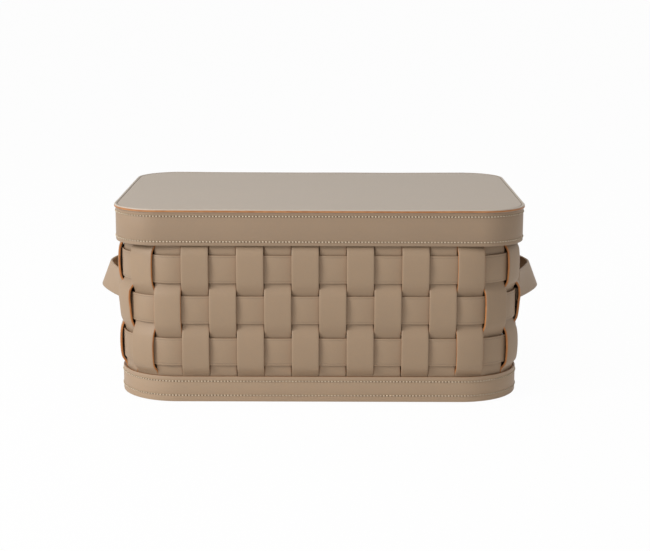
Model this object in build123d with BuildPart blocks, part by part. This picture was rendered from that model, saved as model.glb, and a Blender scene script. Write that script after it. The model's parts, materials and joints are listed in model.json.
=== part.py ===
# Lidded storage basket of woven faux leather, in millimetres.
# Flat upright strips pass over and under three ring-shaped weavers. A sewn band closes the wall at
# the foot, a folded band at the rim, and a stiff lid with a deep skirt slips over the rim.
# The origin is the middle of the underside. +X runs along the long side, -Y is the front, +Z is up.

import math
import os

from build123d import *

# Wall of the basket: the middle surface of the weave, which the foot band's outer face continues
wall_length = 374.6
wall_depth = 254.6
wall_corner_radius = 56.1

# Bands and the base board
band_thickness = 2.0
base_band_height = 24.1
rim_band_bottom = 151.0
rim_band_top = 173.2
rim_band_set_in = 0.4
board_thickness = 4.0

# Weavers: closed rings of strip, lowest first
weaver_width = 26.0
weaver_thickness = 2.0
weaver_heights = [47.6, 87.0, 124.9]

# Upright strips
upright_count = 46
upright_thickness = 2.2
upright_gap = 0.36
upright_bulge_out = 1.2
upright_bulge_in = 0.6
upright_end_trim = 1.6
crossing_margin = 1.4
band_margin = 0.9
bulge_radius = 60.0
crossing_radius = 6.0
trim_past_band = 5.0
shoulder_run = 2.0

# Handles: a strap at each end of the basket
strap_width = 26.0
strap_thickness = 2.5
strap_height = 98.0
strap_reach = 23.7
strap_start = 2.6
strap_tilt = 21.0
strap_span_in_uprights = 5
strap_slit_play = 1.0
grip_length = 80.0
grip_gap = 0.3
tongue_thickness = 1.4
tongue_width = 12.0
tongue_tuck = 0.6
notch_depth = 6.5
notch_play = 1.0

# Lid
lid_sheet_thickness = 3.0
lid_board_thickness = 3.0
lid_lining_thickness = 1.0
lid_overhang = 2.7
lid_corner_radius = 43.0
lid_skirt_set_in = 0.6
lid_skirt_thickness = 2.0
lid_skirt_height = 30.7

# Clearances
fit = 0.1
seat_gap = 0.3

# What follows from them
straight_length = wall_length - 2 * wall_corner_radius
straight_depth = wall_depth - 2 * wall_corner_radius
corner_arc = math.pi / 2 * wall_corner_radius
wall_perimeter = 2 * (straight_length + straight_depth) + 4 * corner_arc
pitch = wall_perimeter / upright_count
upright_width = pitch - upright_gap

upright_foot = board_thickness + seat_gap
upright_head = rim_band_top - band_thickness - fit
over_level = weaver_thickness / 2 + fit + upright_thickness / 2
behind_foot_band = band_thickness + fit + upright_thickness / 2
behind_rim_band = rim_band_set_in + behind_foot_band

lid_lining_bottom = rim_band_top + seat_gap
lid_board_bottom = lid_lining_bottom + lid_lining_thickness
lid_sheet_bottom = lid_board_bottom + lid_board_thickness

right_middle = (straight_length / 2 + corner_arc + straight_depth / 2) / pitch - 0.5
handle_row = 1
made = []


def keep(name, part):
    """Label a finished piece and write it to its own file."""
    part.label = name
    made.append(part)
    export_step(part, f"parts/{name}.step")


def wall_point(distance):
    """Point and outward direction of the wall, a distance round it from the front's middle to +X."""
    half_front = straight_length / 2
    turn = 0.0
    distance = distance % wall_perimeter
    centre = Vector(half_front, -straight_depth / 2)
    if distance < half_front:
        return Vector(distance, -wall_depth / 2), Vector(0, -1)
    distance -= half_front
    for side, length in enumerate((straight_depth, straight_length, straight_depth, straight_length)):
        if distance < corner_arc:
            turn = distance / wall_corner_radius + side * math.pi / 2
            outward = Vector(math.sin(turn), -math.cos(turn))
            return centre + outward * wall_corner_radius, outward
        distance -= corner_arc
        turn = (side + 1) * math.pi / 2
        outward = Vector(math.sin(turn), -math.cos(turn))
        along = Vector(math.cos(turn), math.sin(turn))
        if distance < length:
            return centre + outward * wall_corner_radius + along * distance, outward
        distance -= length
        centre = centre + along * length
    return Vector(0, -wall_depth / 2), Vector(0, -1)


def wall_drop(distance, half_width):
    """How far the curved wall falls away from a flat strip that touches it at its middle."""
    middle, outward = wall_point(distance)
    drops = [(middle - wall_point(distance + side * half_width)[0]).dot(outward) for side in (-1, 1)]
    return max(0.0, *drops)


def loop_outline(offset):
    """Rounded rectangle that runs round the basket at an offset outward from the wall."""
    RectangleRounded(wall_length + 2 * offset, wall_depth + 2 * offset, wall_corner_radius + offset)


def loop_band(outer, inner, bottom, height):
    """Closed band round the basket between two offsets from the wall."""
    with BuildPart() as band:
        with BuildSketch(Plane.XY.offset(bottom)):
            loop_outline(outer)
            with BuildSketch(mode=Mode.SUBTRACT):
                loop_outline(inner)
        extrude(amount=height)
    return band


def lid_outline(inset):
    """Rounded rectangle of the lid, an inset inside the edge of its top sheet."""
    RectangleRounded(
        wall_length + 2 * (lid_overhang - inset),
        wall_depth + 2 * (lid_overhang - inset),
        lid_corner_radius - inset,
    )


def is_over(number, row):
    """Whether an upright lies outside a weaver: even ones on the middle row, odd ones on the others."""
    return (number % 2 == 0) == (row == handle_row)


def tongue_upright(middle, side):
    """Number of the upright that holds down a handle's end, and the uprights passed on the way."""
    first = middle + side * (strap_span_in_uprights // 2 + 1)
    passed = 0 if is_over(first % upright_count, handle_row) else 1
    return (first + side * passed) % upright_count, passed


handle_middles = {"right": round(right_middle), "left": round(right_middle) + upright_count // 2}
tongue_uprights = [tongue_upright(m, side)[0] for m in handle_middles.values() for side in (-1, 1)]
notched_uprights = {
    (m + side * (strap_span_in_uprights // 2)) % upright_count: side
    for m in handle_middles.values()
    for side in (-1, 1)
}


def upright_levels(number, drop):
    """Outward offset, height and bend radius of an upright's middle surface, from foot to head."""
    foot_in = -behind_foot_band - drop
    head_in = -behind_rim_band - drop
    points = [(foot_in, upright_foot, None), (foot_in, base_band_height + band_margin, crossing_radius)]
    for row, height in enumerate(weaver_heights):
        low = height - weaver_width / 2 - crossing_margin
        high = height + weaver_width / 2 + crossing_margin
        if is_over(number, row):
            edge = over_level
            middle = edge + upright_bulge_out
            if row == handle_row and number in tongue_uprights:
                edge += fit + tongue_thickness
                middle = edge + upright_bulge_in
        else:
            edge = -over_level - drop
            middle = edge - upright_bulge_in
        points.append((edge, low, crossing_radius))
        points.append((middle, height, bulge_radius))
        points.append((edge, high, crossing_radius))
    points += [(head_in, rim_band_bottom - band_margin, crossing_radius), (head_in, upright_head, None)]
    return points


def upright(number):
    """One upright strip, flat across and waved along its height."""
    distance = (number + 0.5) * pitch
    middle, outward = wall_point(distance)
    across = Vector(outward.Y, -outward.X)
    drop = wall_drop(distance, upright_width / 2)
    levels = upright_levels(number, drop)
    radii = [radius for _, _, radius in levels[1:-1]]
    half = upright_thickness / 2
    with BuildPart() as strip:
        with BuildSketch(Plane(origin=middle, x_dir=outward, z_dir=across)):
            with BuildLine():
                outer = FilletPolyline(*[(level + half, z) for level, z, _ in levels], radius=radii)
                inner = FilletPolyline(*[(level - half, z) for level, z, _ in levels], radius=radii)
                Line(outer @ 0, inner @ 0)
                Line(outer @ 1, inner @ 1)
            make_face()
        extrude(amount=upright_width / 2, both=True)
        if drop > fit:
            wide = upright_width / 2
            narrow = wide - upright_end_trim
            low = base_band_height + trim_past_band
            high = rim_band_bottom - trim_past_band
            outline = [
                (-narrow, upright_foot),
                (narrow, upright_foot),
                (narrow, low),
                (wide, low + shoulder_run),
                (wide, high - shoulder_run),
                (narrow, high),
                (narrow, upright_head),
                (-narrow, upright_head),
                (-narrow, high),
                (-wide, high - shoulder_run),
                (-wide, low + shoulder_run),
                (-narrow, low),
            ]
            with BuildSketch(Plane(origin=middle, x_dir=across * -1, z_dir=outward)):
                with BuildLine():
                    Polyline(*outline, close=True)
                make_face()
            extrude(amount=wall_corner_radius / 2, both=True, mode=Mode.INTERSECT)
        if number in notched_uprights:
            side = notched_uprights[number]
            with BuildSketch(Plane(origin=middle, x_dir=across * -1, z_dir=outward)):
                with Locations((side * upright_width / 2, strap_height)):
                    Rectangle(2 * notch_depth, strap_width + 2 * notch_play)
            extrude(amount=wall_corner_radius / 2, both=True, mode=Mode.SUBTRACT)
    return strip


# The strap's middle line is an arc seen from above, from one slit in the weave to the other
strap_half_span = strap_span_in_uprights / 2 * pitch - strap_slit_play
strap_rise = strap_reach - strap_start
strap_radius = (strap_half_span**2 + strap_rise**2) / (2 * strap_rise)
strap_half_turn = math.degrees(math.asin(strap_half_span / strap_radius))
strap_sections = 9


def strap_arc():
    """The whole strap of the right handle, flat at its ends and tilted outward at the bottom."""
    centre_x = wall_length / 2 + strap_reach - strap_radius
    sections = []
    for step in range(strap_sections):
        share = 2 * step / (strap_sections - 1) - 1
        turn = math.radians(share * strap_half_turn)
        tilt = math.radians(strap_tilt * (1 - share**2))
        outward = Vector(math.cos(turn), math.sin(turn), 0)
        along = Vector(-math.sin(turn), math.cos(turn), 0)
        origin = Vector(centre_x, 0, strap_height) + outward * strap_radius
        face = outward * math.cos(tilt) + Vector(0, 0, math.sin(tilt))
        with BuildSketch(Plane(origin=origin, x_dir=face, z_dir=along)) as section:
            Rectangle(strap_thickness, strap_width)
        sections.append(section.sketch)
    loft(sections)


def between(low_y, high_y):
    """Keep what lies between two planes across the strap."""
    with BuildSketch(Plane.XY) as window:
        with Locations((wall_length / 2, (low_y + high_y) / 2)):
            Rectangle(wall_length, high_y - low_y)
    extrude(window.sketch, amount=rim_band_top, mode=Mode.INTERSECT)


def handle_grip():
    """The free middle of the right handle's strap, which the hand lifts."""
    with BuildPart() as grip:
        strap_arc()
        between(-grip_length / 2, grip_length / 2)
    return grip


def handle_end(passed):
    """The right handle's front end: the strap up to the slit, and its tongue in the weave."""
    slit = strap_span_in_uprights / 2 * pitch
    tip = wall_perimeter / 4 - slit - (passed + tongue_tuck) * pitch
    tip_y = wall_point(tip)[0].Y
    tongue_start = -strap_half_span + strap_thickness
    low = weaver_thickness / 2 + fit
    with BuildPart() as end:
        strap_arc()
        between(-wall_depth / 2, -grip_length / 2 - grip_gap)
        with BuildSketch(Plane.XY.offset(strap_height - strap_width / 2 + notch_play)):
            loop_outline(low + tongue_thickness)
            with BuildSketch(mode=Mode.SUBTRACT):
                loop_outline(low)
            with Locations((wall_length / 2, (tip_y + tongue_start) / 2)):
                Rectangle(wall_length, tongue_start - tip_y, mode=Mode.INTERSECT)
        extrude(amount=tongue_width)
    return end


def handles():
    """Both handles, each as a grip and its two ends."""
    grip = handle_grip().part
    keep("handle_right_grip", grip)
    keep("handle_left_grip", mirror(grip, about=Plane.YZ, mode=Mode.PRIVATE))
    for side_name, middle in handle_middles.items():
        front = handle_end(tongue_upright(middle, -1)[1]).part
        if side_name == "left":
            front = mirror(front, about=Plane.YZ, mode=Mode.PRIVATE)
        with BuildPart() as ends:
            add(front)
            mirror(about=Plane.XZ)
        keep(f"handle_{side_name}_ends", ends.part)


def bands_and_board():
    """The sewn bands at the foot and rim, the base board and the three weavers."""
    keep("base_band", loop_band(0, -band_thickness, 0, base_band_height).part)

    corner_middle = straight_length / 2 + corner_arc / 2
    corner_drop = wall_drop(corner_middle, upright_width / 2)
    rim_inner = behind_rim_band + upright_thickness / 2 + corner_drop + fit
    rim_height = rim_band_top - rim_band_bottom
    rim = loop_band(-rim_band_set_in, -rim_inner - band_thickness, rim_band_bottom, rim_height)
    pocket = loop_band(
        -rim_band_set_in - band_thickness, -rim_inner, rim_band_bottom, rim_height - band_thickness
    )
    keep("rim_band", rim.part - pocket.part)

    with BuildPart() as board:
        with BuildSketch(Plane.XY):
            loop_outline(-band_thickness - fit)
        extrude(amount=board_thickness)
    keep("base_board", board.part)

    half = weaver_thickness / 2
    for name, height in zip(("weaver_low", "weaver_middle", "weaver_high"), weaver_heights):
        keep(name, loop_band(half, -half, height - weaver_width / 2, weaver_width).part)


def lid():
    """The lid: a leather sheet on a board, a lining below it and the skirt round it."""
    with BuildPart() as sheet:
        with BuildSketch(Plane.XY.offset(lid_sheet_bottom)):
            lid_outline(0)
        extrude(amount=lid_sheet_thickness)
    keep("lid_top_sheet", sheet.part)

    skirt_inner = lid_skirt_set_in + lid_skirt_thickness
    with BuildPart() as skirt:
        with BuildSketch(Plane.XY.offset(lid_sheet_bottom)):
            lid_outline(lid_skirt_set_in)
            with BuildSketch(mode=Mode.SUBTRACT):
                lid_outline(skirt_inner)
        extrude(amount=-lid_skirt_height)
    keep("lid_skirt", skirt.part)

    with BuildPart() as board:
        with BuildSketch(Plane.XY.offset(lid_board_bottom)):
            lid_outline(skirt_inner + fit)
        extrude(amount=lid_board_thickness)
    keep("lid_board", board.part)

    with BuildPart() as lining:
        with BuildSketch(Plane.XY.offset(lid_lining_bottom)):
            lid_outline(skirt_inner + fit)
        extrude(amount=lid_lining_thickness)
    keep("lid_lining", lining.part)


os.makedirs("parts", exist_ok=True)
bands_and_board()
for number in range(upright_count):
    keep(f"upright_{number + 1:02d}", upright(number).part)
handles()
lid()

whole = Compound(children=made).bounding_box()
print(f"pieces {len(made)}, overall {whole.size.X:.1f} x {whole.size.Y:.1f} x {whole.size.Z:.1f} mm")
print(f"upright pitch {pitch:.2f} mm, strap radius {strap_radius:.1f} mm")
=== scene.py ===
# %% [markdown]
# A lidded basket woven from flat strips of smooth faux leather. Forty-six upright strips pass over
# and under three strips that run round the basket. A sewn band closes the foot, a folded band closes
# the rim under the lid, and a soft strap handle leaves the weave at each end.
#
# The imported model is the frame: every visual piece takes its place and its main sizes from it.

import json
import math
import random

import bpy
import bmesh
from mathutils import Matrix, Vector

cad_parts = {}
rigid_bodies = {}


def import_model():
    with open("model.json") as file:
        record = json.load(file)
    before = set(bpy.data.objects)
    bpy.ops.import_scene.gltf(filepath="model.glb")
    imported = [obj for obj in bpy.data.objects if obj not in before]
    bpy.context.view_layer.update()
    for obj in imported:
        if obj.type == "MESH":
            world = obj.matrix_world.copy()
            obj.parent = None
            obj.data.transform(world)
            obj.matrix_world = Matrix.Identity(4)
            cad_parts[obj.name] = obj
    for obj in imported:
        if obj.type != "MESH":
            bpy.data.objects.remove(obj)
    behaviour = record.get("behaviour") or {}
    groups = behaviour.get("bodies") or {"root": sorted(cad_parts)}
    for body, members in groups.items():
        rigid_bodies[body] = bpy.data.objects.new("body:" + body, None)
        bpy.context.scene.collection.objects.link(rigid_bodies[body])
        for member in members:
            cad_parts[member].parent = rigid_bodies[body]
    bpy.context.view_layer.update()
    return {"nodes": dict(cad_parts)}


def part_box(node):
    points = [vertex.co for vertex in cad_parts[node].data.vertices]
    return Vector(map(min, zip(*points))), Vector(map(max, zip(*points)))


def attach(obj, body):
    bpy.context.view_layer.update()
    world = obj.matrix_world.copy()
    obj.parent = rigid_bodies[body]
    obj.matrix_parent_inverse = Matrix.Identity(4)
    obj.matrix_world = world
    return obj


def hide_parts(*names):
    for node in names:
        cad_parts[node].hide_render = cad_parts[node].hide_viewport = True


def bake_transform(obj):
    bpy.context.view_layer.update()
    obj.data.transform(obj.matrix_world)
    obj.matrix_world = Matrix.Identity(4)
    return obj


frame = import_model()


# %% [markdown]
# All shapes below are worked out in millimetres, because a maker thinks of a strip as 25 mm wide.
# One helper turns millimetres into Blender's metres at the very end, when a mesh is made. The sizes
# that the frame holds are read from it, and the few it can't tell are named here.

# %% Sizes in millimetres
MM = 0.001


def node_box(name):
    """Lowest and highest corner of a frame node, in millimetres."""
    low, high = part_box(name)
    return [v / MM for v in low], [v / MM for v in high]


foot_low, foot_high = node_box("base_band")
rim_low, rim_high = node_box("rim_band")
sheet_low, sheet_high = node_box("lid_top_sheet")
skirt_low, skirt_high = node_box("lid_skirt")
board_low, board_high = node_box("base_board")
lining_low, lining_high = node_box("lid_lining")

wall_length = foot_high[0] - foot_low[0]
wall_depth = foot_high[1] - foot_low[1]
wall_corner = 56.1
lid_corner = 43.0
upright_count = 46
row_names = ["weaver_low", "weaver_middle", "weaver_high"]
row_boxes = [node_box(name) for name in row_names]
rows = [((low[2] + high[2]) / 2, high[2] - low[2]) for low, high in row_boxes]
rim_length = rim_high[0] - rim_low[0]
rim_depth = rim_high[1] - rim_low[1]
rim_corner = wall_corner - (wall_length - rim_length) / 2
weaver_thick = 1.6
upright_thick = 2.3
band_thick = 2.0
end_set_in = 2.0
strip_gap = 0.3

weave_length = wall_length - 2 * end_set_in
weave_depth = wall_depth
weave_corner = wall_corner - end_set_in
straight_x = weave_length - 2 * weave_corner
straight_y = weave_depth - 2 * weave_corner
quarter = math.pi / 2 * weave_corner
perimeter = 2 * (straight_x + straight_y) + 4 * quarter
pitch = perimeter / upright_count
upright_wide = pitch - strip_gap
print(f"weave {weave_length:.1f} x {weave_depth:.1f} mm, {perimeter:.0f} round, pitch {pitch:.2f} mm")


# %% [markdown]
# The basket's plan is a rounded rectangle. Everything that runs round it, from the weavers to the
# stitches, is a loop at some offset from the wall. Because all the loops share the same stations,
# two loops at different offsets line up point for point and can be joined by faces.

# %% Loops round the basket
ARC_STEPS = 22
SIDE_STEPS = 34
END_STEPS = 22


def rounded_loop(length, depth, corner):
    """Points and outward directions round a rounded rectangle, from the front's middle towards +X."""
    points = []
    half_x = length / 2 - corner
    half_y = depth / 2 - corner
    sides = [(half_x, -half_y, END_STEPS), (half_x, half_y, SIDE_STEPS)]
    sides += [(-half_x, half_y, END_STEPS), (-half_x, -half_y, SIDE_STEPS)]
    for number, (cx, cy, steps) in enumerate(sides):
        start = number * math.pi / 2
        for step in range(ARC_STEPS + 1):
            turn = start + math.pi / 2 * step / ARC_STEPS
            out = Vector((math.sin(turn), -math.cos(turn)))
            points.append((Vector((cx, cy)) + out * corner, out))
        last, out = points[-1]
        following = Vector(sides[(number + 1) % 4][:2]) + out * corner
        for step in range(1, steps):
            points.append((last.lerp(following, step / steps), out))
    shift = SIDE_STEPS // 2
    return points[-shift:] + points[:-shift]


def travelled_loop(length, depth, corner):
    """The rounded loop again, with the way travelled before each of its points."""
    base = rounded_loop(length, depth, corner)
    travelled = 0.0
    stations = []
    for number, (at, out) in enumerate(base):
        if number:
            travelled += (at - base[number - 1][0]).length
        stations.append((travelled, at, out))
    return stations


def wall_point(distance):
    """Point and outward direction of the weave, a distance round it from the front's middle to +X."""
    distance = distance % perimeter
    if distance < straight_x / 2:
        return Vector((distance, -weave_depth / 2)), Vector((0, -1))
    distance -= straight_x / 2
    corner = Vector((straight_x / 2, -straight_y / 2))
    for number, length in enumerate((straight_y, straight_x, straight_y, straight_x)):
        turn = number * math.pi / 2
        if distance < quarter:
            turn += distance / weave_corner
            out = Vector((math.sin(turn), -math.cos(turn)))
            return corner + out * weave_corner, out
        distance -= quarter
        turn += math.pi / 2
        out = Vector((math.sin(turn), -math.cos(turn)))
        along = Vector((math.cos(turn), math.sin(turn)))
        if distance < length:
            return corner + out * weave_corner + along * distance, out
        distance -= length
        corner = corner + along * length
    return Vector((0, -weave_depth / 2)), Vector((0, -1))


def inside(point, length, depth, corner):
    """How far a point lies inside a rounded rectangle's edge."""
    x = abs(point.x) - (length / 2 - corner)
    y = abs(point.y) - (depth / 2 - corner)
    return corner - math.hypot(max(x, 0), max(y, 0)) - min(max(x, y), 0)


def wall_drop(distance, half_width):
    """How far the curved wall falls away from a flat strip that touches it at its middle."""
    middle, out = wall_point(distance)
    drops = [(middle - wall_point(distance + side * half_width)[0]).dot(out) for side in (-1, 1)]
    return max(0.0, *drops)


def ripple(distance, seed, height):
    """A small smooth unevenness along the wall, the same on every run."""
    share = 2 * math.pi * distance / perimeter
    draw = random.Random(seed)
    waves = [(n, draw.uniform(0, 2 * math.pi), draw.uniform(0.4, 1.0)) for n in (3, 5, 8, 13)]
    return height * sum(size * math.sin(n * share + phase) for n, phase, size in waves) / 2.4


print("loop stations:", len(rounded_loop(wall_length, wall_depth, wall_corner)))


# %% [markdown]
# A mesh needs only points and faces. These helpers make the object, give each face its material,
# turn all the faces outward and shade them smooth, with sharp edges kept where two faces meet at a
# steep angle. A swept strip is a closed section carried through stations and capped at its ends.

# %% Making a mesh object
SHARP_ANGLE = 38
SHARP_NEVER = 180
made_triangles = {}


def finish_mesh(mesh, sharp=SHARP_ANGLE, dissolve=False):
    """Merge doubles, turn the faces outward, shade smooth and count the triangles."""
    work = bmesh.new()
    work.from_mesh(mesh)
    bmesh.ops.remove_doubles(work, verts=work.verts, dist=1e-6)
    if dissolve:
        bmesh.ops.dissolve_degenerate(work, edges=work.edges, dist=1e-7)
    bmesh.ops.recalc_face_normals(work, faces=work.faces)
    work.to_mesh(mesh)
    work.free()
    mesh.shade_smooth()
    mesh.set_sharp_from_angle(angle=math.radians(sharp))
    made_triangles[mesh.name] = sum(len(p.vertices) - 2 for p in mesh.polygons)


def link_object(name, data):
    """An object at the origin, linked to the scene."""
    made = bpy.data.objects.new(name, data)
    bpy.context.scene.collection.objects.link(made)
    return made


def mesh_object(name, points, faces, materials, face_materials=None):
    """A closed mesh object from points in millimetres."""
    mesh = bpy.data.meshes.new(name)
    mesh.from_pydata([[v * MM for v in point] for point in points], [], faces)
    for material in materials:
        mesh.materials.append(material)
    if face_materials:
        mesh.polygons.foreach_set("material_index", face_materials)
    finish_mesh(mesh, dissolve=True)
    return link_object(name, mesh)


def swept_faces(stations, ring):
    """Faces of a closed section of ring points swept through stations, the two caps last."""
    starts = [station * ring for station in range(stations)]
    sides = [(k, (k + 1) % ring) for k in range(ring)]
    faces = [(s + a, s + b, s + b + ring, s + a + ring) for s in starts[:-1] for a, b in sides]
    return faces + [tuple(range(s, s + ring)) for s in (starts[0], starts[-1])]


def place(piece, body, slot, *nodes):
    """Say which body a piece rides on and which frame nodes it stands for; slot, its finish, is not
    used.
    """
    if body:
        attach(piece, body)
    if nodes:
        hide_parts(*nodes)


# %% [markdown]
# Materials come next, since the meshes name them. One helper adds a node to any tree from its
# type, its settings and its inputs. A shader is easier to read as a sum, so a small class wraps a
# socket: adding or multiplying two of them adds a Math node.

# %% Nodes and shader sums
def find_socket(sockets, key):
    """A socket by its number, identifier or name."""
    return next(s for n, s in enumerate(sockets) if key in (n, s.identifier, s.name))


def add_node(tree, kind, settings=None, inputs=None):
    """Add a node to a tree, set it up and feed its sockets with values or other sockets."""
    added = tree.nodes.new(kind)
    for key, value in (settings or {}).items():
        setattr(added, key, value)
    for key, value in (inputs or {}).items():
        socket = find_socket(added.inputs, key)
        if isinstance(value, bpy.types.NodeSocket):
            tree.links.new(value, socket)
        else:
            socket.default_value = value
    return added


class Wire:
    """A socket that can be used in sums."""

    def __init__(self, paint, socket):
        self.paint = paint
        self.socket = socket

    def sum(self, operation, first, second):
        return self.paint.node("Math", {"operation": operation}, {0: first, 1: second})

    def __add__(self, other):
        return self.sum("ADD", self, other)

    __radd__ = __add__

    def __sub__(self, other):
        return self.sum("SUBTRACT", self, other)

    def __rsub__(self, other):
        return self.sum("SUBTRACT", other, self)

    def __mul__(self, other):
        return self.sum("MULTIPLY", self, other)


class Paint:
    """One material and its node tree."""

    def __init__(self, name):
        self.material = bpy.data.materials.new(name)
        self.material.use_nodes = True
        self.tree = self.material.node_tree
        self.tree.nodes.clear()

    def node(self, kind, settings=None, inputs=None, output=0):
        """Add a shader node fed with values or wires, and return one of its outputs."""
        fed = {key: getattr(value, "socket", value) for key, value in (inputs or {}).items()}
        added = add_node(self.tree, "ShaderNode" + kind, settings, fed)
        return Wire(self, find_socket(added.outputs, output))

    def mix(self, first, second, share):
        """Blend two colours."""
        inputs = {"Factor_Float": share, "A_Color": first, "B_Color": second}
        return self.node("Mix", {"data_type": "RGBA"}, inputs, "Result_Color")

    def shade(self, colour, factor):
        """Multiply a colour by a grey factor."""
        return self.node("VectorMath", {"operation": "SCALE"}, {0: colour, "Scale": factor})

    def ramp(self, value, *stops):
        """Follow a value through grey stops."""
        grey = self.node("ValToRGB", None, {0: value})
        elements = grey.socket.node.color_ramp.elements
        while len(elements) < len(stops):
            elements.new(0.5)
        for element, (position, shade) in zip(elements, stops):
            element.position = position
            element.color = (shade, shade, shade, 1)
        return grey

    def noise(self, place, scale, detail, rough):
        inputs = {"Vector": place, "Scale": scale, "Detail": detail, "Roughness": rough}
        return self.node("TexNoise", None, inputs)

    def finish(self, colour, roughness, height, depth, **fixed):
        """Feed the surface shader and the output; height drives a bump of a depth in metres."""
        bump = {"Height": height, "Distance": depth, "Strength": 1.0}
        normal = self.node("Bump", None, bump, "Normal")
        inputs = {"Base Color": colour, "Roughness": roughness, "Normal": normal}
        inputs.update({key.replace("_", " "): value for key, value in fixed.items()})
        surface = self.node("BsdfPrincipled", None, inputs)
        self.node_output(surface)
        return self.material

    def node_output(self, surface):
        add_node(self.tree, "ShaderNodeOutputMaterial", None, {"Surface": surface.socket})


# %% [markdown]
# The faux leather is smooth with a very fine pebble grain. Its colour drifts a little from strip to
# strip, and the raised grain catches slightly more light than the creases between. All of it reads
# the object's own coordinates, so it stays on the piece from any side.

# %% Leather
TAUPE = (0.370, 0.262, 0.173, 1)
DRIFT_SCALE = 17.0
CLOUD_SCALE = 160.0
PEBBLE_SCALE = 1150.0
GRAIN_DEPTH = 0.045 * MM
LINE_HALF_WIDTH = 0.45 * MM


def leather(name, colour=TAUPE, lines=(), rough=0.50):
    """Fine-grained leather; lines are heights in millimetres where a pressed line runs round, with
    painted shade in its groove.
    """
    paint = Paint(name)
    place_on = paint.node("TexCoord", None, None, "Object")
    drift = paint.noise(place_on, DRIFT_SCALE, 3.0, 0.55)
    cloud = paint.noise(place_on, CLOUD_SCALE, 3.0, 0.6)
    cells = {"Vector": place_on, "Scale": PEBBLE_SCALE, "Smoothness": 0.6}
    pebble = paint.node("TexVoronoi", {"feature": "SMOOTH_F1"}, cells, "Distance")
    creases = paint.ramp(pebble, (0.0, 1.0), (0.75, 0.35), (1.0, 0.0))
    tone = 0.93 + drift * 0.10 + cloud * 0.05 + creases * 0.03
    height = creases + cloud * 0.8
    if lines:
        up = paint.node("SeparateXYZ", None, {0: place_on}, "Z")
        for line in lines:
            offset = (up - line * MM) * (1 / LINE_HALF_WIDTH)
            gap = paint.node("Math", {"operation": "ABSOLUTE"}, {0: offset})
            groove = paint.node("Math", {"operation": "SUBTRACT", "use_clamp": True}, {0: 1.0, 1: gap})
            # Painted shade: the colour is darkened along each pressed line's groove.
            tone = tone - groove * 0.20
            height = height - groove * 3.0
    warmer = (colour[0] * 1.03, colour[1] * 0.99, colour[2] * 0.94, 1)
    skin = paint.shade(paint.mix(colour, warmer, cloud), tone)
    roughness = rough + 0.06 - creases * 0.06 + drift * 0.05
    return paint.finish(skin, roughness, height, GRAIN_DEPTH, Specular_IOR_Level=0.45)


band_rows = [6.1, 19.5]
skirt_rows = [150.7, 174.0]
rim_rows = [rim_low[2] + 4.6, rim_high[2] - 3.4]
upright_leather = leather("upright_leather")
weaver_lines = [z + side * (wide / 2 - 1.9) for z, wide in rows for side in (-1, 1)]
weaver_leather = leather("weaver_leather", lines=weaver_lines)
band_leather = leather("band_leather", (0.418, 0.300, 0.203, 1))
skirt_leather = leather("skirt_leather", (0.350, 0.249, 0.168, 1))
# The lid's top leather is lighter and greyer than the strips': leather colour with a painted sheen.
lid_leather = leather("lid_leather", (0.395, 0.333, 0.270, 1), rough=0.46)
# A lighter copy of the lid's leather paints a highlight on the rounded lip, and a dark copy paints
# shade in the pressed line.
lid_lip_highlight = leather("lid_lip_leather", (0.52, 0.45, 0.375, 1), rough=0.42)
lid_crease_shade = leather("lid_crease_leather", (0.215, 0.165, 0.122, 1), rough=0.6)
handle_leather = leather("handle_leather")
print("leathers:", len([m for m in bpy.data.materials if "leather" in m.name]))


# %% [markdown]
# The cut edges of the strips and of the lid's sheet are sealed with a tan edge paint. It is a
# little glossier than the leather, and its tone runs in streaks along the strip. On the weavers'
# edges it is much darker: tan paint with painted shade.

# %% Edge paint, thread and lining
def edge_paint(name, colour, stretch):
    """Tan paint on a cut edge, streaked along one direction."""
    paint = Paint(name)
    place_on = paint.node("TexCoord", None, None, "Object")
    streaks = paint.node("Mapping", None, {"Vector": place_on, "Scale": stretch})
    streak = paint.noise(streaks, 900.0, 2.0, 0.6)
    blot = paint.noise(place_on, 140.0, 2.0, 0.5)
    dark = (colour[0] * 0.72, colour[1] * 0.62, colour[2] * 0.52, 1)
    share = paint.ramp(streak * 0.6 + blot * 0.4, (0.38, 0.0), (0.62, 1.0))
    tan = paint.mix(dark, colour, share)
    return paint.finish(tan, 0.44 + blot * 0.1, streak, 0.05 * MM, Specular_IOR_Level=0.5)


upright_edge = edge_paint("upright_edge_paint", (0.60, 0.24, 0.070, 1), (1, 1, 0.12))
# Painted shade: the weavers' edge paint is darkened to a dark brown.
weaver_edge_shade = edge_paint("weaver_edge_paint", (0.27, 0.155, 0.085, 1), (1, 1, 1))
lid_edge = edge_paint("lid_edge_paint", (0.52, 0.225, 0.080, 1), (0.2, 0.2, 1))
band_edge = edge_paint("band_edge_paint", (0.30, 0.15, 0.07, 1), (1, 1, 1))


def thread():
    """Waxed cream thread, twisted."""
    paint = Paint("cream_thread")
    place_on = paint.node("TexCoord", None, None, "Object")
    fuzz = paint.noise(place_on, 2600.0, 2.0, 0.6)
    cream = paint.mix((0.72, 0.59, 0.42, 1), (0.88, 0.77, 0.59, 1), fuzz)
    return paint.finish(cream, 0.6 + fuzz * 0.15, fuzz, 0.04 * MM)


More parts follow.
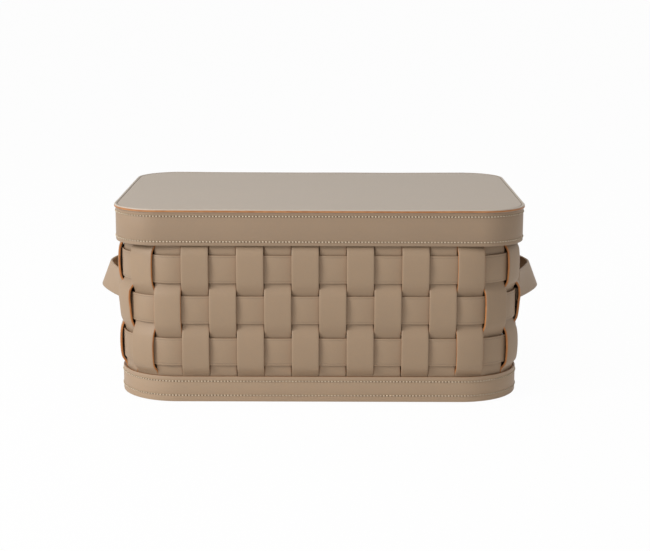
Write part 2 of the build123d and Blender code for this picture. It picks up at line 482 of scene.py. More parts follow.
def lining_cloth():
    """Plain matt cloth with a fine square weave, for the inside of the lid and the base."""
    paint = Paint("lining_cloth")
    place_on = paint.node("TexCoord", None, None, "Object")
    ribs = {"Vector": place_on, "Scale": 330.0, "Distortion": 0.4}
    along, across = [paint.node("TexWave", {"bands_direction": axis}, ribs) for axis in "XY"]
    weave = along * 0.5 + across * 0.5
    cloud = paint.noise(place_on, 40.0, 3.0, 0.6)
    brown = paint.mix((0.30, 0.22, 0.15, 1), (0.36, 0.27, 0.19, 1), weave)
    brown = paint.shade(brown, 0.92 + cloud * 0.12)
    return paint.finish(brown, 0.85 + cloud * 0.1, weave, 0.12 * MM)


stitch_thread = thread()
# Needle holes: a small dark ball at each hole, painted shade for the hole's depth.
needle_hole_shade = leather("needle_hole_leather", (0.17, 0.105, 0.060, 1), rough=0.8)
cloth = lining_cloth()
print("materials:", len(bpy.data.materials))


# %% [markdown]
# Each upright strip is flat across and waves along its height: out over a weaver, in behind the
# next, and in behind the foot and rim bands. Where it crosses a corner it stays flat, so its edges
# stand a little proud, as on the real basket. Even strips pass over the middle row and odd strips
# over the other two.

# %% The path of an upright
MIDDLE_ROW = 1
STRAP_SPAN = 5
TONGUE_LIFT = 1.5
BAND_CLEARANCE = 0.3
PAST_BAND = 0.8
PAST_ROW = 0.7
CROWN = 1.05
DIP = 0.5
LEAN = 0.25
layer_gap = 0.1
foot_z = board_high[2] + 0.3
head_z = rim_high[2] - band_thick - 1.4
over_level = weaver_thick / 2 + layer_gap + upright_thick / 2
right_middle = round((straight_x / 2 + quarter + straight_y / 2) / pitch - 0.5)
strap_middles = {"right": right_middle, "left": right_middle + upright_count // 2}


def is_over(number, row):
    """Whether an upright passes outside a weaver."""
    return (number % 2 == 0) == (row == MIDDLE_ROW)


def tongue_upright(middle, side):
    """The upright that holds down a handle's end, and how many are passed on the way to it."""
    first = middle + side * (STRAP_SPAN // 2 + 1)
    passed = 0 if is_over(first % upright_count, MIDDLE_ROW) else 1
    return (first + side * passed) % upright_count, passed


tongue_uprights = [tongue_upright(m, side)[0] for m in strap_middles.values() for side in (-1, 1)]


def upright_levels(number, middle, stand):
    """Heights and outward offsets of an upright's middle surface; stand keeps its flat edges clear."""
    draw = random.Random(900 + number)
    behind = band_thick + BAND_CLEARANCE + upright_thick / 2 + stand
    foot_in = inside(middle, wall_length, wall_depth, wall_corner) - behind
    head_in = inside(middle, rim_length, rim_depth, rim_corner) - behind
    points = [(foot_z, foot_in), (foot_high[2] + PAST_BAND, foot_in)]
    for row, (height, wide) in enumerate(rows):
        reach = wide / 2 + PAST_ROW
        if is_over(number, row):
            crown = CROWN + draw.uniform(-0.15, 0.2)
            lift = TONGUE_LIFT if row == MIDDLE_ROW and number in tongue_uprights else 0.0
            points += [(height - reach, over_level), (height - wide / 4, over_level + 0.8 * crown)]
            points += [(height, over_level + crown + 0.2 * lift)]
            points += [(height + wide / 4, over_level + 0.8 * crown + 0.75 * lift)]
            points += [(height + reach, over_level + lift)]
        else:
            edge = -over_level - stand
            points += [(height - reach, edge), (height, edge - DIP), (height + reach, edge)]
    points += [(z, head_in) for z in (rim_low[2] - PAST_BAND, rim_low[2] + 6, head_z)]
    return points


def smooth_path(points, step):
    """Heights, offsets and slopes along a smooth curve that keeps within its points' levels."""
    slopes = []
    for number in range(len(points)):
        before = points[max(0, number - 1)]
        here = points[number]
        after = points[min(len(points) - 1, number + 1)]
        left = (here[1] - before[1]) / (here[0] - before[0]) if here != before else 0
        right = (after[1] - here[1]) / (after[0] - here[0]) if after != here else 0
        slopes.append(0 if left * right <= 0 else 2 * left * right / (left + right))
    path = []
    for number in range(len(points) - 1):
        (z0, a), (z1, b) = points[number], points[number + 1]
        run = z1 - z0
        count = max(2, round(run / step))
        for part in range(count):
            t = part / count
            curve = (
                (2 * t**3 - 3 * t**2 + 1) * a
                + (t**3 - 2 * t**2 + t) * run * slopes[number]
                + (3 * t**2 - 2 * t**3) * b
                + (t**3 - t**2) * run * slopes[number + 1]
            )
            path.append((z0 + t * run, curve))
    path.append(points[-1])
    return path


PATH_STEP = 1.9
front_levels = upright_levels(0, Vector((0, -weave_depth / 2)), 0.0)
print("upright path:", len(smooth_path(front_levels, PATH_STEP)), "stations")


# %% [markdown]
# The strip's section is a thin rounded rectangle. Its two narrow sides carry the edge paint, so
# each face of the swept mesh gets one of two materials from its place in the section.

# %% Sweeping the uprights
ACROSS_STEPS = 8
SOFT = [(1.5, 0.0), (0.6, 0.08), (0.15, 0.28), (0.0, 0.5)]


def strip_section(wide, thick, paint_rounding):
    """Points round a strip's section as (across, out), and whether the side after each is painted."""
    half_w, half_t = wide / 2, thick / 2
    points, edge = [], []
    for side in (1, -1):
        for step in range(ACROSS_STEPS):
            share = side * (1 - 2 * step / ACROSS_STEPS)
            points.append((share * (half_w - SOFT[0][0]), side * half_t))
            edge.append(False)
        points += [(side * (inset - half_w), side * (half_t - drop)) for inset, drop in SOFT]
        under = reversed(SOFT[1:])
        points += [(side * (inset - half_w), side * (drop - half_t)) for inset, drop in under]
        edge += [False, False, paint_rounding, True, paint_rounding, False, False]
    return points, edge


BEND = 0.5
CORNER_DROP = 0.1
TRIM = 1.6
TRIM_START = 1.5
TRIM_RUN = 3


def narrowing(z, drop):
    """How much narrower each side of a corner upright is where a band hides it."""
    if drop < CORNER_DROP:
        return 0.0
    low = (foot_high[2] - TRIM_START - z) / TRIM_RUN
    high = (z - rim_low[2] - TRIM_START) / TRIM_RUN
    return TRIM * min(1.0, max(0.0, low, high))


def upright(number):
    """One upright strip."""
    distance = (number + 0.5) * pitch
    middle, out = wall_point(distance)
    across = Vector((-out.y, out.x))
    drop = wall_drop(distance, upright_wide / 2)
    curve = BEND * drop / (upright_wide / 2) ** 2
    path = smooth_path(upright_levels(number, middle, drop * (1 - BEND)), PATH_STEP)
    section, edges = strip_section(upright_wide, upright_thick, drop > CORNER_DROP)
    lean = random.Random(number).uniform(-LEAN, LEAN)
    points = []
    for number_on, (z, level) in enumerate(path):
        before = path[max(0, number_on - 1)]
        after = path[min(len(path) - 1, number_on + 1)]
        slope = math.atan2(after[1] - before[1], after[0] - before[0])
        trim = 1 - 2 * narrowing(z, drop) / upright_wide
        sway = lean * (z - rows[MIDDLE_ROW][0]) / rows[MIDDLE_ROW][0]
        for side, rise in section:
            bow = level - curve * side**2 + rise * math.cos(slope)
            flat = middle + across * (side * trim + sway) + out * bow
            points.append((flat.x, flat.y, z - rise * math.sin(slope)))
    faces = swept_faces(len(path), len(section))
    inks = [int(painted) for painted in edges] * (len(path) - 1) + [1, 1]
    name = f"upright_strip_{number + 1:02d}"
    return mesh_object(name, points, faces, [upright_leather, upright_edge], inks)


for number in range(upright_count):
    place(upright(number), "basket", "upright_leather", f"upright_{number + 1:02d}")
print("uprights:", upright_count, "of", made_triangles["upright_strip_01"], "triangles")


# %% [markdown]
# Three weavers run round the basket. A weaver is one strip whose line swells out between two
# uprights that pass behind it, and is held in where one passes over it. That is a rule, so Geometry
# Nodes make it: a loop is resampled, pushed in and out by a cosine, and swept with a strip section.

# %% A helper for node trees
class Tree:
    """A Geometry Nodes tree with named inputs."""

    def __init__(self, name, sizes):
        self.group = bpy.data.node_groups.new(name, "GeometryNodeTree")
        face = self.group.interface
        face.new_socket("Geometry", in_out="INPUT", socket_type="NodeSocketGeometry")
        kinds = {float: "NodeSocketFloat", int: "NodeSocketInt"}
        self.ids = {}
        for key, value in sizes.items():
            kind = kinds.get(type(value), "NodeSocketMaterial")
            made = face.new_socket(key, in_out="INPUT", socket_type=kind)
            self.ids[key] = made.identifier
        face.new_socket("Geometry", in_out="OUTPUT", socket_type="NodeSocketGeometry")
        self.inputs = self.group.nodes.new("NodeGroupInput")
        self.sizes = sizes

    def size(self, key):
        return self.inputs.outputs[key]

    def add(self, kind, inputs=None, settings=None, output=0):
        """Add a node, of a geometry kind if no other is named, and return one of its outputs."""
        kind = kind if "Node" in kind else "GeometryNode" + kind
        return add_node(self.group, kind, settings, inputs).outputs[output]

    def math(self, operation, first, second=0.0):
        return self.add("ShaderNodeMath", {0: first, 1: second}, {"operation": operation})

    def join(self, *parts):
        joined = self.group.nodes.new("GeometryNodeJoinGeometry")
        for part in parts:
            self.group.links.new(part, joined.inputs[0])
        return joined.outputs[0]

    def end(self, geometry):
        """Feed the tree's output and return the tree."""
        add_node(self.group, "NodeGroupOutput", None, {0: geometry})
        return self

    def grow(self, name, curve, sharp=SHARP_ANGLE):
        """Run the tree on a curve object and keep the result as a plain mesh object."""
        modifier = curve.modifiers.new(name, "NODES")
        modifier.node_group = self.group
        for key, value in self.sizes.items():
            modifier[self.ids[key]] = value
        seen = curve.evaluated_get(bpy.context.evaluated_depsgraph_get())
        mesh = bpy.data.meshes.new_from_object(seen)
        mesh.name = name
        curve.modifiers.clear()
        bpy.data.objects.remove(curve)
        finish_mesh(mesh, sharp)
        return link_object(name, mesh)


def loop_curve(name, loops):
    """A curve object with one closed poly line for each list of points, in millimetres."""
    curve = bpy.data.curves.new(name, "CURVE")
    curve.dimensions = "3D"
    for points in loops:
        line = curve.splines.new("POLY")
        line.points.add(len(points) - 1)
        for point, place_at in zip(line.points, points):
            point.co = [v * MM for v in place_at] + [1]
        line.use_cyclic_u = True
    return link_object(name, curve)


def wall_loop(z, spacing=3.0):
    """Points of the weave's line at a height, evenly spaced from the front's middle."""
    count = round(perimeter / spacing)
    return [(*wall_point(k * perimeter / count)[0], z) for k in range(count)]


# %% [markdown]
# A weaver's rule has few inputs: how many waves it makes, how high they are, and its section. The
# phase is chosen so that the wave is lowest where an upright passes over.

# %% The weavers
EDGE_SLOPE = 0.6


def weaver_tree(phase, wide):
    """The rule of a weaver: resample, wave in and out, sweep a strip section, paint its edges."""
    tree = Tree(
        "woven_ring",
        {
            "Stations": upright_count * 18,
            "Waves": upright_count // 2,
            "Wave height": 0.55 * MM,
            "Phase": phase,
            "Width": wide * MM,
            "Thickness": weaver_thick * MM,
            "Edge radius": 0.55 * MM,
            "Leather": weaver_leather,
            "Edge paint": weaver_edge_shade,
        },
    )
    evenly = {"Curve": tree.size("Geometry"), "Count": tree.size("Stations")}
    line = tree.add("ResampleCurve", evenly)
    line = tree.add("SetCurveNormal", {0: line}, {"mode": "Z_UP"})
    share = tree.add("SplineParameter", output="Factor")
    turns = tree.math("MULTIPLY", share, tree.math("MULTIPLY", tree.size("Waves"), 2 * math.pi))
    wave = tree.math("COSINE", tree.math("ADD", turns, tree.size("Phase")))
    push = tree.math("MULTIPLY", wave, tree.size("Wave height"))
    tangent = tree.add("InputTangent")
    sides = {0: tangent, 1: (0, 0, 1)}
    outward = tree.add("ShaderNodeVectorMath", sides, {"operation": "CROSS_PRODUCT"})
    shift = tree.add("ShaderNodeVectorMath", {0: outward, "Scale": push}, {"operation": "SCALE"})
    waved = tree.add("SetPosition", {"Geometry": line, "Offset": shift})
    flat = {"Width": tree.size("Thickness"), "Height": tree.size("Width")}
    section = tree.add("CurvePrimitiveQuadrilateral", flat)
    rounding = {"Curve": section, "Radius": tree.size("Edge radius"), "Count": 2}
    rounded = tree.add("FilletCurve", rounding, {"mode": "POLY"})
    swept = tree.add("CurveToMesh", {"Curve": waved, "Profile Curve": rounded})
    dress = {"Geometry": swept, "Material": tree.size("Leather")}
    dressed = tree.add("SetMaterial", dress)
    height = tree.add("ShaderNodeSeparateXYZ", {0: tree.add("InputNormal")}, output="Z")
    steep = tree.math("GREATER_THAN", tree.math("ABSOLUTE", height), EDGE_SLOPE)
    real = tree.add("RealizeInstances", {0: dressed})
    paint = {"Geometry": real, "Selection": steep, "Material": tree.size("Edge paint")}
    return tree.end(tree.add("SetMaterial", paint))


for row, (height, wide) in enumerate(rows):
    phase = (math.pi if is_over(0, row) else 0.0) - math.pi / 2
    ring = loop_curve("ring", [wall_loop(height)])
    grown = weaver_tree(phase, wide).grow(f"{row_names[row]}_strip", ring)
    place(grown, "basket", "weaver_leather", row_names[row])
print("weavers:", made_triangles["weaver_low_strip"], "triangles each")


# %% [markdown]
# The foot band, the rim band and the lid's skirt are strips that follow the plan. Each is one closed
# section, drawn as points of offset and height, carried round the loop. The section's own corners
# are rounded where the leather is folded or skived, and a shallow groove carries each stitch row.

# %% Bands
BAND_EDGE = 0.8
BACK_EDGE = 0.4


def band_loop(plan, offset, z):
    """Points of a band's loop; the plan ends in the seed and the size of its ripple."""
    *sides, seed, uneven = plan
    points = []
    for travelled, at, out in travelled_loop(*sides):
        bow = ripple(travelled, seed, uneven)
        points.append((*(at + out * (offset + bow)), z + bow * 0.4))
    return points


def carry_round(name, section, plan, materials, inks=None):
    """Carry a closed section of (offset, height) points round a band's plan."""
    loops = [band_loop(plan, offset, z) for offset, z in section]
    stations = len(loops[0])
    points = [loop[station] for station in range(stations) for loop in loops]
    faces, face_inks = [], []
    count = len(section)
    for station in range(stations):
        following = (station + 1) % stations
        for k in range(count):
            k2 = (k + 1) % count
            here, there = station * count, following * count
            faces.append((here + k, there + k, there + k2, here + k2))
            face_inks.append(inks[k] if inks else 0)
    return mesh_object(name, points, faces, materials, face_inks)


def round_corner(offset, z, radius, start, steps=4):
    """Points of a quarter round with its middle at (offset, z), from an angle in degrees."""
    angles = [math.radians(start + 90 * k / steps) for k in range(steps + 1)]
    return [(offset + radius * math.cos(a), z + radius * math.sin(a)) for a in angles]


def groove(z, depth=0.22, wide=0.9):
    """A shallow channel for a stitch row on the outer face, at offset 0, read upward."""
    return [(0, z - wide), (-depth, z - 0.3 * wide), (-depth, z + 0.3 * wide), (0, z + wide)]


def band_section(low, high, grooves):
    """Section of a flat band with rounded edges, its outer face at offset 0."""
    thick, edge = band_thick, BAND_EDGE
    points = round_corner(-edge, low + edge, edge, -90)
    for z in grooves:
        points += groove(z)
    points += round_corner(-edge, high - edge, edge, 0)
    points += [(-thick + BACK_EDGE, high), (-thick, high - BACK_EDGE)]
    points += [(-thick, low + BACK_EDGE), (-thick + BACK_EDGE, low)]
    return points


foot_section = band_section(foot_low[2], foot_high[2], band_rows)
foot_following = foot_section[1:] + foot_section[:1]
foot_painted = foot_high[2] - 0.3
foot_inks = [int(min(a[1], b[1]) > foot_painted) for a, b in zip(foot_section, foot_following)]
foot_plan = (wall_length, wall_depth, wall_corner, 11, 0.12)
foot = carry_round("foot_band", foot_section, foot_plan, [band_leather, band_edge], foot_inks)
place(foot, "basket", "band_leather", "base_band")

skirt_length = skirt_high[0] - skirt_low[0]
skirt_depth = skirt_high[1] - skirt_low[1]
skirt_corner = lid_corner - (sheet_high[0] - skirt_high[0])
skirt_section = band_section(skirt_low[2], skirt_high[2], skirt_rows)
skirt_plan = (skirt_length, skirt_depth, skirt_corner, 12, 0.12)
skirt = carry_round("lid_skirt_strip", skirt_section, skirt_plan, [skirt_leather])
place(skirt, "lid", "skirt_leather", "lid_skirt")

rim_wide = 8.3
rim_fold_radius = 2.6
rim_edge = 0.6
rim_section = round_corner(-rim_edge, rim_low[2] + rim_edge, rim_edge, -90)
for z in rim_rows:
    rim_section += groove(z)
fold_z = rim_high[2] - rim_fold_radius
rim_section += round_corner(-rim_fold_radius, fold_z, rim_fold_radius, 0, 6)
rim_section += round_corner(-rim_wide + rim_fold_radius, fold_z, rim_fold_radius, 90, 6)
rim_section += round_corner(-rim_wide + rim_edge, rim_low[2] + rim_edge, rim_edge, 180)
rim_inner = -rim_wide + band_thick
inner_side, inner_top = rim_high[2] - 3.2, rim_high[2] - 2.4
rim_section += [(rim_inner, rim_low[2]), (rim_inner, inner_side), (rim_inner + 0.8, inner_top)]
rim_section += [(-band_thick - 0.8, inner_top), (-band_thick, inner_side), (-band_thick, rim_low[2])]
rim_plan = (rim_length, rim_depth, rim_corner, 13, 0.1)
rim = carry_round("rim_fold", rim_section, rim_plan, [band_leather])
place(rim, "basket", "band_leather", "rim_band")
print("bands:", {k: made_triangles[k] for k in ("foot_band", "lid_skirt_strip", "rim_fold")})


# %% [markdown]
# The lid's top is one thick sheet laid on a board. Its leather colour is lighter and greyer than the
# strips', with a painted sheen in it. Its cut edge is painted tan, a fine pressed line runs just
# inside the edge with painted shade in it, the rounded lip outside the line carries a painted
# highlight, and the middle sags by about a millimetre. A flat panel is made as a ring of loops that
# shrink onto the panel's long middle line.

# %% Flat panels
# Ring kinds pick a panel's material; on the lid's top LINE takes painted shade and LIP a painted
# highlight.
FACE, LINE, LIP, CUT = 0, 1, 2, -1
PANEL_RIPPLE = 0.14


def panel(name, box, corner, materials, edge, wider=0.0, deeper=0.0, sag=0.0, crease=0.0, seed=0):
    """A rounded panel in a node's box, with softened edges; the last material is the cut edge's.

    With a crease, the second is the pressed line's and the third the lip's outside it; on the lid
    these are painted shade and a painted highlight.
    """
    length = box[1][0] - box[0][0] + wider
    depth = box[1][1] - box[0][1] + deeper
    low, high = box[0][2], box[1][2]
    loops = [(corner * 0.5, low, FACE), (edge, low, FACE), (0.0, low + edge, CUT)]
    if crease:
        loops += [(0.0, high - 0.75, LIP), (0.15, high - 0.3, LIP), (0.5, high + 0.1, LIP)]
        loops += [(1.1, high + 0.25, FACE), (crease - 0.9, high + 0.15, FACE)]
        loops += [(crease - 0.4, high - 0.1, LINE), (crease, high - 0.5, LINE)]
        loops += [(crease + 0.4, high - 0.1, FACE)]
    else:
        loops += [(0.0, high - edge, CUT), (edge * 0.3, high - edge * 0.3, FACE), (edge, high, FACE)]
    loops += [(inset, high, FACE) for inset in (crease + 3.0, 12.0, corner * 0.5, corner * 0.85)]
    points, faces, inks = [], [], []
    stations = len(rounded_loop(length, depth, corner))
    arm = (length - depth) / 2

    def settle(x, y, z):
        dip = sag * (1 - (2 * x / length) ** 2) * (0.55 + 0.45 * (1 - (2 * y / depth) ** 2))
        return (x, y, z - dip)

    for inset, z, _ in loops:
        base = travelled_loop(length - 2 * inset, depth - 2 * inset, corner - inset)
        for travelled, at, _ in base:
            lift = ripple(travelled, seed, PANEL_RIPPLE) if seed else 0.0
            points.append(settle(at.x, at.y, z + lift))
    for ring in range(len(loops) - 1):
        for k in range(stations):
            k2 = (k + 1) % stations
            a, b = ring * stations, (ring + 1) * stations
            faces.append((a + k, a + k2, b + k2, b + k))
            inks.append(loops[ring][2] % len(materials))

    def close(first, z):
        """Fill inside one loop with smaller loops that end on the long middle line."""
        edge_points = points[first : first + stations]
        previous = first
        for share in (0.25, 0.5, 0.75, 1.0):
            start = len(points)
            for x, y, _ in edge_points:
                goal_x = max(-arm, min(arm, x))
                points.append(settle(x + (goal_x - x) * share, y * (1 - share), z))
            for k in range(stations):
                k2 = (k + 1) % stations
                faces.append((previous + k, previous + k2, start + k2, start + k))
                inks.append(0)
            previous = start

    close(0, low)
    close((len(loops) - 1) * stations, high)
    return mesh_object(name, points, faces, materials, inks)


top = panel(
    "lid_top",
    (sheet_low, sheet_high),
    lid_corner,
    [lid_leather, lid_crease_shade, lid_lip_highlight, lid_edge],
    edge=0.55,
    wider=1.0,
    deeper=0.6,
    sag=0.9,
    crease=2.8,
    seed=21,
)
place(top, "lid", "lid_leather", "lid_top_sheet")

inner_corner = skirt_corner - 2.1
lining_box = (lining_low, lining_high)
lining = panel("lid_lining_cloth", lining_box, inner_corner, [cloth], edge=0.3)
place(lining, "lid", "lining", "lid_lining")

base_corner = wall_corner - band_thick - 0.1
floor_panel = panel("base_panel", (board_low, board_high), base_corner, [cloth], edge=0.6)
place(floor_panel, "basket", "board", "base_board")

hidden_board = frame["nodes"]["lid_board"]
hidden_board.data.materials.clear()
hidden_board.data.materials.append(cloth)
print("panels:", {k: made_triangles[k] for k in ("lid_top", "lid_lining_cloth", "base_panel")})


# %% [markdown]
# Each handle is one soft strap that leaves the weave through a slit, bows out in an arc and goes
# back in. Its lower edge stands further out than its upper edge. The strap is folded double, so its
# edges are round and unpainted. Each half of the strap, from its middle to its tongue, is made as
# one mesh.

# %% The handle straps
strap_wide = 26.0
strap_thick = 2.5
strap_height = 98.0
strap_reach = 23.7
strap_start = 2.6
strap_tilt = 21.0
tongue_thick = 1.4
tongue_wide = 12.0
tongue_gap = 0.15
tongue_reach = 0.6
tongue_start = 1.2
strap_half = STRAP_SPAN / 2 * pitch - 1.0
strap_rise = strap_reach - strap_start
SOFT_BEND = 0.32
STRAP_STEPS = 34
TONGUE_STEPS = 14


def strap_plan(share):
    """How far the strap has come in from its reach, from 0 at its middle to 1 at the slit."""
    return (math.hypot(share, SOFT_BEND) - SOFT_BEND) / (math.hypot(1, SOFT_BEND) - SOFT_BEND)


def strap_stations(passed):
    """Middle, outward direction, lean, width, thickness and height along the front half."""
    stations = []
    for step in range(STRAP_STEPS + 1):
        share = step / STRAP_STEPS
        reach = wall_length / 2 + strap_reach - strap_rise * strap_plan(share)
        slope = 0.0
        if step:
            fall = strap_plan(share + 0.001) - strap_plan(share - 0.001)
            slope = strap_rise * fall / (0.002 * strap_half)
        out = Vector((1, -slope)).normalized()
        tilt = math.radians(strap_tilt) * (1 - share**2)
        middle = Vector((reach, -share * strap_half))
        stations.append((middle, out, tilt, strap_wide, strap_thick, strap_height))
    slit = perimeter / 4 - STRAP_SPAN / 2 * pitch
    level = weaver_thick / 2 + tongue_gap + tongue_thick / 2
    tongue_z = strap_height - strap_wide / 2 + 1 + tongue_wide / 2
    run = (passed + tongue_reach) * pitch
    for step in range(1, TONGUE_STEPS + 1):
        share = step / TONGUE_STEPS
        blend = min(1.0, step / 2)
        at, out = wall_point(slit - tongue_start - run * share)
        wide = strap_wide + (tongue_wide - strap_wide) * blend
        thick = strap_thick + (tongue_thick - strap_thick) * blend
        z = strap_height + (tongue_z - strap_height) * blend
        stations.append((at + out * level, out, 0.0, wide, thick, z))
    return stations


def strap_section(wide, thick):
    """A folded strap's section as (out, up): flat faces and round edges."""
    radius = thick * 0.42
    points = []
    for side_out, side_up, start in ((1, 1, 0), (-1, 1, 90), (-1, -1, 180), (1, -1, 270)):
        cx, cy = side_out * (thick / 2 - radius), side_up * (wide / 2 - radius)
        for k in range(4):
            a = math.radians(start + 30 * k)
            points.append((cx + radius * math.cos(a), cy + radius * math.sin(a)))
        if start in (0, 180):
            continue
        flat = 6
        for k in range(1, flat):
            points.append((side_out * thick / 2, side_up * (wide / 2 - radius) * (1 - 2 * k / flat)))
    return points


def strap_half_mesh(name, passed, mirror_x, mirror_y):
    """Half of a handle's strap, from its middle to its tongue."""
    points = []
    stations = strap_stations(passed)
    for middle, out, tilt, wide, thick, z in stations:
        for side, up in strap_section(wide, thick):
            radial = side * math.cos(tilt) - up * math.sin(tilt)
            rise = side * math.sin(tilt) + up * math.cos(tilt)
            spot = middle + out * radial
            points.append((spot.x * mirror_x, spot.y * mirror_y, z + rise))
    faces = swept_faces(len(stations), len(points) // len(stations))
    return mesh_object(name, points, faces, [handle_leather])


for side_name, mirror_x in (("right", 1), ("left", -1)):
    for end_name, mirror_y in (("front", 1), ("rear", -1)):
        passed = tongue_upright(strap_middles[side_name], -1)[1]
        strap = strap_half_mesh(f"strap_{side_name}_{end_name}", passed, mirror_x, mirror_y)
        place(strap, None, "handle_leather", f"handle_{side_name}_grip", f"handle_{side_name}_ends")
        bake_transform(strap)
print("strap halves:", made_triangles["strap_left_front"], "triangles each")


# %% [markdown]
# The bands are sewn with cream thread, about three millimetres a stitch. A stitch is a small pod
# laid along the row and half sunk in its groove. One tree makes a whole row from a loop: on every
# other point a pod that follows the row with a little random lean from a fixed seed, and on the
# points between a needle hole, a small dark ball that paints the shade in the hole.

# %% Stitches
def stitch_tree(count, seed):
    """The rule of a stitch row."""
    tree = Tree(
        "stitch_row",
        {
            "Stitches": count,
            "Length": 1.9 * MM,
            "Thread radius": 0.60 * MM,
            "Hole radius": 0.55 * MM,
            "Lean": 0.14,
            "Seed": seed,
            "Thread": stitch_thread,
            "Hole": needle_hole_shade,
        },
    )
    stops = tree.math("MULTIPLY", tree.size("Stitches"), 2.0)
    line = tree.add("ResampleCurve", {"Curve": tree.size("Geometry"), "Count": stops})
    number = tree.add("InputIndex")
    is_hole = tree.math("GREATER_THAN", tree.math("MODULO", number, 2.0), 0.5)
    is_stitch = tree.math("SUBTRACT", 1.0, is_hole)
    tangent = tree.add("InputTangent")
    aim = tree.add("FunctionNodeAlignRotationToVector", {"Vector": tangent}, {"axis": "X"})
    least = tree.math("MULTIPLY", tree.size("Lean"), -1.0)
    spread = {2: least, 3: tree.size("Lean"), "Seed": tree.size("Seed")}
    jitter = tree.add("FunctionNodeRandomValue", spread, {"data_type": "FLOAT"}, 1)
    lean = tree.add("ShaderNodeCombineXYZ", {"Y": jitter})
    turn = tree.add("FunctionNodeRotateRotation", {0: aim, 1: lean}, {"rotation_space": "LOCAL"})
    pod = tree.add("MeshUVSphere", {"Segments": 6, "Rings": 5, "Radius": 0.5})
    wide = tree.math("MULTIPLY", tree.size("Thread radius"), 2.0)
    scale = tree.add("ShaderNodeCombineXYZ", {"X": tree.size("Length"), "Y": wide, "Z": wide})
    shaped = tree.add("Transform", {"Geometry": pod, "Scale": scale})
    pit = tree.add("MeshIcoSphere", {"Radius": tree.size("Hole radius"), "Subdivisions": 1})
    threads = {"Points": line, "Selection": is_stitch, "Instance": shaped, "Rotation": turn}
    holes = {"Points": line, "Selection": is_hole, "Instance": pit}
    dressed = []
    for sown, key in ((threads, "Thread"), (holes, "Hole")):
        grown = tree.add("InstanceOnPoints", sown)
        real = tree.add("RealizeInstances", {0: grown})
        dress = {"Geometry": real, "Material": tree.size(key)}
        dressed.append(tree.add("SetMaterial", dress))
    return tree.end(tree.join(*dressed))


STITCH_PITCH = 3.0
STITCH_STAND = 0.16
stitch_rows = {
    "foot_stitches": ("basket", "band_leather", foot_plan, band_rows),
    "rim_stitches": ("basket", "band_leather", rim_plan, rim_rows),
    "skirt_stitches": ("lid", "skirt_leather", skirt_plan, skirt_rows),
}
for number, (name, (body, slot, plan, heights)) in enumerate(stitch_rows.items()):
    length, depth, corner = plan[:3]
    around = 2 * (length + depth) - (8 - 2 * math.pi) * corner
    count = round(around / STITCH_PITCH)
    loops = [band_loop(plan, STITCH_STAND, z) for z in heights]
    sewn = stitch_tree(count, 40 + number).grow(name, loop_curve("row", loops), SHARP_NEVER)
    place(sewn, body, slot)
    print(name, count, "stitches a row,", made_triangles[name], "triangles")


# %% [markdown]
# The set is plain: a white floor that keeps a faint shadow, an even pale surround, two soft lamps,
# and the camera that fits the photograph.

# %% Floor
RAYS = ("Camera", "Glossy", "Transmission")


def white_floor():
    """White to the camera, with a little of the shadow kept."""
    paint = Paint("studio_floor")
    camera, glossy, clear = [paint.node("LightPath", None, None, f"Is {kind} Ray") for kind in RAYS]
    seen = clear.sum("MAXIMUM", camera.sum("MAXIMUM", camera, glossy), clear)
    matt = paint.node("BsdfDiffuse", None, {"Color": (0.92, 0.91, 0.89, 1)})
    glow = paint.node("Emission", None, {"Color": (1, 1, 1, 1), "Strength": 1.0})
    both = paint.node("MixShader", None, {0: seen * 0.97, 1: matt, 2: glow})
    paint.node_output(both)
    return paint.material


FLOOR = 60.0
BELOW = -0.4 * MM
floor_mesh = bpy.data.meshes.new("studio_floor")
floor_corners = [(x * FLOOR, y * FLOOR, BELOW) for x, y in ((-1, -1), (1, -1), (1, 1), (-1, 1))]
floor_mesh.from_pydata(floor_corners, [], [(0, 1, 2, 3)])
floor_mesh.materials.append(white_floor())
floor = link_object("studio_floor", floor_mesh)
print(f"floor {2 * FLOOR:.0f} m wide, {-BELOW / MM:.1f} mm below the basket's foot")


# %% [markdown]
# The surround is dim where it lights the basket and white where the camera or a reflection meets
# it. The main lamp stands at the front left, so the light falls off towards the right end, and a
# weaker one hangs above.

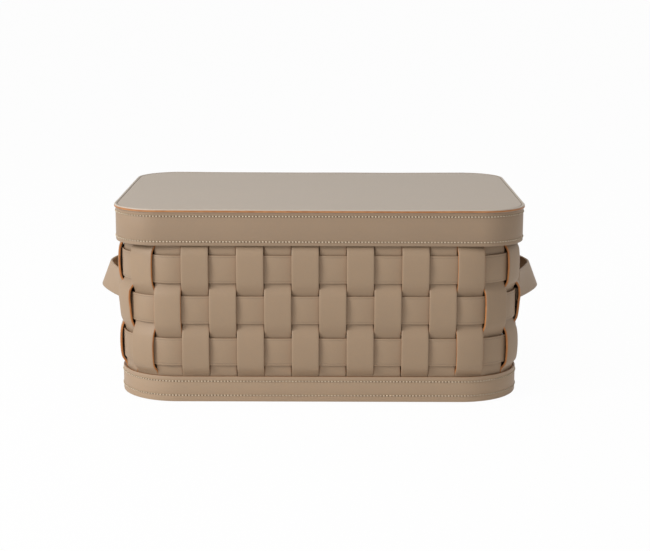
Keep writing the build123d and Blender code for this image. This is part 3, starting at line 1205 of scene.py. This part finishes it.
# %% Light
world = bpy.data.worlds.new("studio_world")
bpy.context.scene.world = world
world.use_nodes = True
sky = world.node_tree
sky.nodes.clear()
rays = add_node(sky, "ShaderNodeLightPath").outputs
seen = rays[f"Is {RAYS[0]} Ray"]
for kind in RAYS[1:]:
    either = {0: seen, 1: rays[f"Is {kind} Ray"]}
    seen = add_node(sky, "ShaderNodeMath", {"operation": "MAXIMUM"}, either).outputs[0]
levels = {"Value": seen, "To Min": 0.37, "To Max": 1.0}
strength = add_node(sky, "ShaderNodeMapRange", None, levels).outputs["Result"]
pale = {"Color": (1, 1, 1, 1), "Strength": strength}
background = add_node(sky, "ShaderNodeBackground", None, pale).outputs[0]
add_node(sky, "ShaderNodeOutputWorld", None, {"Surface": background})


def lamp(name, place_at, aim, size, power):
    """A square soft lamp aimed at a point."""
    light = bpy.data.lights.new(name, "AREA")
    light.shape = "SQUARE"
    light.size = size
    light.energy = power
    made = link_object(name, light)
    made.location = place_at
    made.rotation_euler = (Vector(aim) - Vector(place_at)).to_track_quat("-Z", "Y").to_euler()


centre = Vector((0, 0, 0.09))
lamp("key_lamp", (-1.45, -0.95, 0.95), centre, size=0.7, power=19.5)
lamp("top_lamp", (-0.3, -0.3, 1.9), centre, size=1.2, power=8.5)


# %% [markdown]
# The camera was fitted to the outlines of the lid and the foot band and to the rows of the weave. It
# stands about a metre and a half away and looks a little down.

# %% Camera
CAMERA_AT = (7.1 * MM, -1464.0 * MM, 388.9 * MM)
PITCH_DOWN = 0.1989
TURN = 0.00131
ROLL = 0.00261
FOCAL_PIXELS = 1497.0
PHOTO_WIDE = 650
camera_data = bpy.data.cameras.new("photo_camera")
camera_data.sensor_width = 36.0
camera_data.lens = FOCAL_PIXELS / PHOTO_WIDE * camera_data.sensor_width
camera_data.clip_start = 0.01
camera = link_object("photo_camera", camera_data)
tip = math.pi / 2 - PITCH_DOWN
aim = Matrix.Rotation(TURN, 4, "Z") @ Matrix.Rotation(tip, 4, "X") @ Matrix.Rotation(ROLL, 4, "Z")
camera.matrix_world = Matrix.Translation(CAMERA_AT) @ aim
bpy.context.scene.camera = camera
bpy.context.scene.view_settings.view_transform = "Standard"
print(f"lens {camera_data.lens:.1f} mm")


# %% [markdown]
# Last, the number of triangles in all the pieces is printed.

# %% The end
print("triangles:", sum(made_triangles.values()), "largest:", max(made_triangles.values()))
